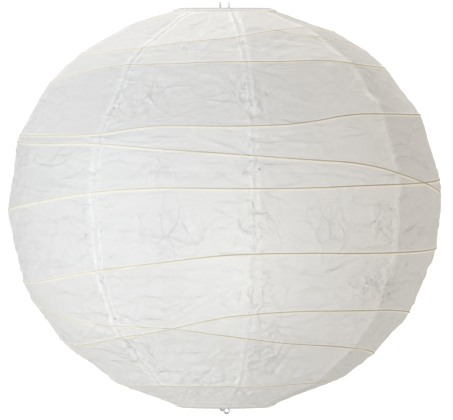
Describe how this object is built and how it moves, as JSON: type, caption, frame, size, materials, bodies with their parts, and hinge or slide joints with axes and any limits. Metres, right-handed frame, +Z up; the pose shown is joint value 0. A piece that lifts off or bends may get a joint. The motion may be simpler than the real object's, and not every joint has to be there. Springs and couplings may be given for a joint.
{
  "type": "paper lantern",
  "caption": "Round white paper lantern shade with spiral bamboo splints, wire end rings and a removable wire spreader that carries a lamp holder ring.",
  "frame": {"origin": "centre of the globe, halfway between the end rings, on their common axis", "axes": "+Z up along the axis of the end rings, -Y to the front leg of the spreader, +X to the right seen from the front"},
  "size_m": [0.4494, 0.4494, 0.4252],
  "materials": {
    "paper": "matte",
    "hem_paper": "matte",
    "bamboo": "satin",
    "ring_steel": "satin",
    "spreader_steel": "satin",
    "rivet_steel": "satin"
  },
  "bodies": {
    "spreader": {"holder_ring": "spreader_steel", "rivet_front": "rivet_steel", "rivet_rear": "rivet_steel"},
    "front_leg": {"leg_front": "spreader_steel"},
    "rear_leg": {"leg_rear": "spreader_steel"},
    "shade": {"top_ring": "ring_steel", "top_hem": "hem_paper", "paper_gore_1": "paper", "paper_gore_2": "paper", "paper_gore_3": "paper", "paper_gore_4": "paper", "paper_gore_5": "paper", "paper_gore_6": "paper", "paper_gore_7": "paper", "paper_gore_8": "paper", "spiral_splint_1": "bamboo", "spiral_splint_2": "bamboo", "spiral_splint_3": "bamboo", "spiral_splint_4": "bamboo", "spiral_splint_5": "bamboo", "spiral_splint_6": "bamboo", "spiral_splint_7": "bamboo", "spiral_splint_8": "bamboo", "cross_splint_1": "bamboo", "cross_splint_2": "bamboo", "cross_splint_3": "bamboo"},
    "shade_foot": {"bottom_ring": "ring_steel", "bottom_hem": "hem_paper"}
  },
  "joints": [
    {"name": "leg_front_squeeze", "type": "hinge", "parent": "spreader", "child": "front_leg", "pos_m": [0, -0.038, 0.185], "axis": [1, 0, 0], "range_deg": [0, 5], "stiffness_Nm_per_rad": 0.2},
    {"name": "leg_rear_squeeze", "type": "hinge", "parent": "spreader", "child": "rear_leg", "pos_m": [0, 0.038, 0.185], "axis": [-1, 0, 0], "range_deg": [0, 5], "stiffness_Nm_per_rad": 0.2},
    {"name": "shade_drop", "type": "slide", "parent": "spreader", "child": "shade", "axis": [0, 0, -1], "range_m": [0, 0.43], "stiffness_N_per_m": 4, "springref_m": -0.45},
    {"name": "shade_fold", "type": "slide", "parent": "shade", "child": "shade_foot", "axis": [0, 0, 1], "range_m": [0, 0.385], "deforming": ["paper_gore_1", "paper_gore_2", "paper_gore_3", "paper_gore_4", "paper_gore_5", "paper_gore_6", "paper_gore_7", "paper_gore_8", "spiral_splint_1", "spiral_splint_2", "spiral_splint_3", "spiral_splint_4", "spiral_splint_5", "spiral_splint_6", "spiral_splint_7", "spiral_splint_8", "cross_splint_1", "cross_splint_2", "cross_splint_3"]}
  ]
}
